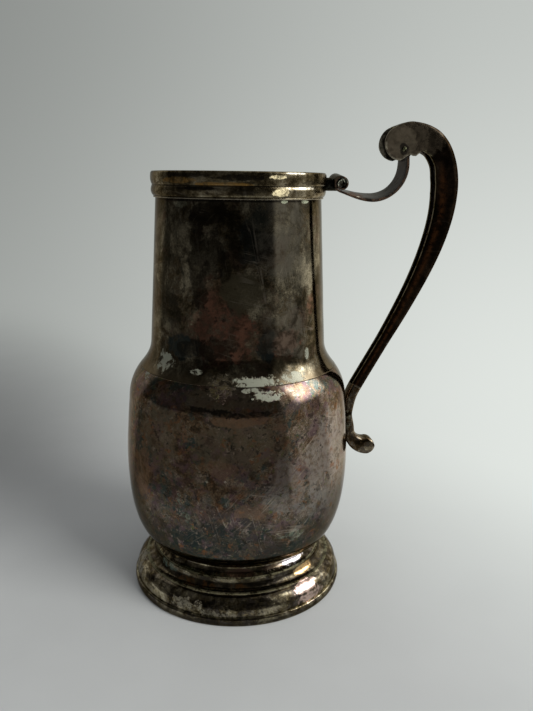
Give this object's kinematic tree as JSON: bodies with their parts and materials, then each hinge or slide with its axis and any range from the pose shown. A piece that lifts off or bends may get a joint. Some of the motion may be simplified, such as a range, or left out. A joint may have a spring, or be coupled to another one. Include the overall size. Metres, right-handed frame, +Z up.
{
  "type": "footed jug",
  "caption": "Tall footed metal jug with a full belly, straight tapering neck, moulded rim band and a hollow scroll handle braced to the rim by a curled strap.",
  "frame": {"origin": "on the jug's axis, in the plane that the foot stands on", "axes": "+Z up along the jug's axis, +X towards the handle, +Y across the handle"},
  "size_m": [0.1663, 0.1138, 0.2349],
  "materials": {
    "body_plate": "polished silver plate, tarnished brown with copper showing through",
    "rim_plate": "polished plate, tarnished, bright where worn",
    "foot_plate": "polished plate, tarnished, green in the hollows",
    "handle_plate": "polished plate, tarnished near black",
    "tail_cast": "cast and plated, mottled",
    "strap_plate": "plated strap, slate grey with corroded end",
    "solder": "dark soft solder",
    "pin_brass": "dull brass, greenish"
  },
  "bodies": {
    "root": {"bowl": "body_plate", "neck": "body_plate", "rim_band": "rim_plate", "foot_collar": "foot_plate", "foot": "foot_plate", "foot_wire": "foot_plate", "handle_shell": "handle_plate", "handle_strip": "handle_plate", "tail_scroll": "tail_cast", "bracket_strap": "strap_plate", "rim_saddle": "solder", "head_pin": "pin_brass"}
  },
  "joints": []
}
